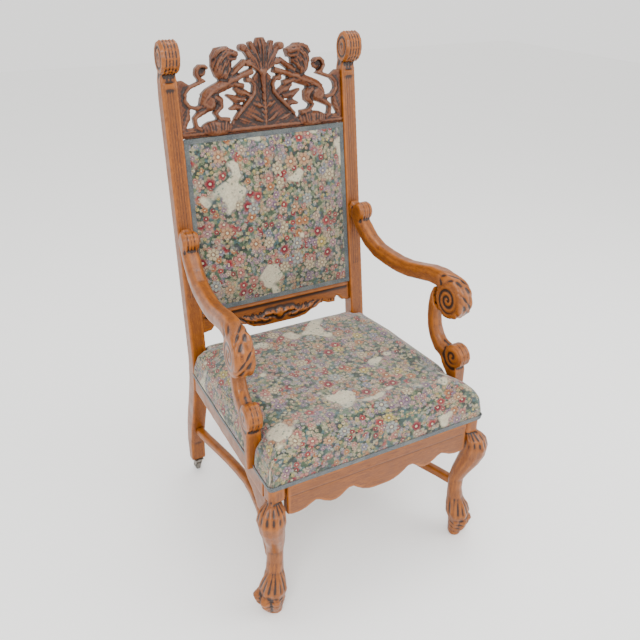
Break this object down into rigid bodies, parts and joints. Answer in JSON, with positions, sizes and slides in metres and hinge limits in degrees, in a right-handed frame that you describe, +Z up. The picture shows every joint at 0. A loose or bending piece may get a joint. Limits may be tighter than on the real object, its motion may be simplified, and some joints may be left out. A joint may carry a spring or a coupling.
{
  "type": "throne",
  "caption": "High-backed carved oak throne chair with a rampant lion crest, tapestry seat and back, scrolled arms and paw feet.",
  "frame": {"origin": "on the floor, under the middle of the chair's overall width and depth", "axes": "+Z up, the sitter faces -Y, +X is to the right of someone facing the chair"},
  "size_m": [0.645, 0.6914, 1.2494],
  "materials": {
    "golden_oak": "aged golden oak under a satin varnish, grain along each piece",
    "carved_oak": "darker red-brown oak in the carving, dusty on the high spots",
    "tapestry": "woven flower tapestry in cream, rose, mauve, sage, teal and dark green",
    "slate_gimp": "slate blue-grey woven braid",
    "aged_steel": "dulled and darkened with age",
    "worn_wheel": "worn grey-brown metal"
  },
  "bodies": {
    "frame": {"crest": "carved_oak", "back_upholstery": "tapestry", "back_gimp": "slate_gimp", "lower_back_rail": "golden_oak", "post_right": "golden_oak", "post_left": "golden_oak", "arm_right": "golden_oak", "arm_left": "golden_oak", "arm_support_right": "golden_oak", "arm_support_left": "golden_oak", "front_leg_right": "golden_oak", "front_leg_left": "golden_oak", "stretcher_right": "golden_oak", "stretcher_left": "golden_oak", "side_rail_right": "golden_oak", "side_rail_left": "golden_oak", "knee_bracket_right": "golden_oak", "knee_bracket_left": "golden_oak", "front_rail": "golden_oak", "rear_rail": "golden_oak", "seat_upholstery": "tapestry", "seat_gimp_front": "slate_gimp", "seat_gimp_side_right": "slate_gimp", "seat_gimp_side_left": "slate_gimp", "caster_socket_right": "aged_steel", "caster_socket_left": "aged_steel"},
    "swivel_right": {"caster_horn_right": "aged_steel"},
    "swivel_left": {"caster_horn_left": "aged_steel"},
    "wheel_right": {"caster_wheel_right": "worn_wheel"},
    "wheel_left": {"caster_wheel_left": "worn_wheel"}
  },
  "joints": [
    {"name": "right_caster_swivel", "type": "hinge", "parent": "frame", "child": "swivel_right", "pos_m": [0.2524, 0.2779, 0.04], "axis": [0, 0, 1], "continuous": true},
    {"name": "left_caster_swivel", "type": "hinge", "parent": "frame", "child": "swivel_left", "pos_m": [-0.2524, 0.2779, 0.04], "axis": [0, 0, 1], "continuous": true},
    {"name": "right_caster_roll", "type": "hinge", "parent": "swivel_right", "child": "wheel_right", "pos_m": [0.2524, 0.2889, 0.016], "axis": [1, 0, 0], "continuous": true},
    {"name": "left_caster_roll", "type": "hinge", "parent": "swivel_left", "child": "wheel_left", "pos_m": [-0.2524, 0.2889, 0.016], "axis": [1, 0, 0], "continuous": true}
  ]
}
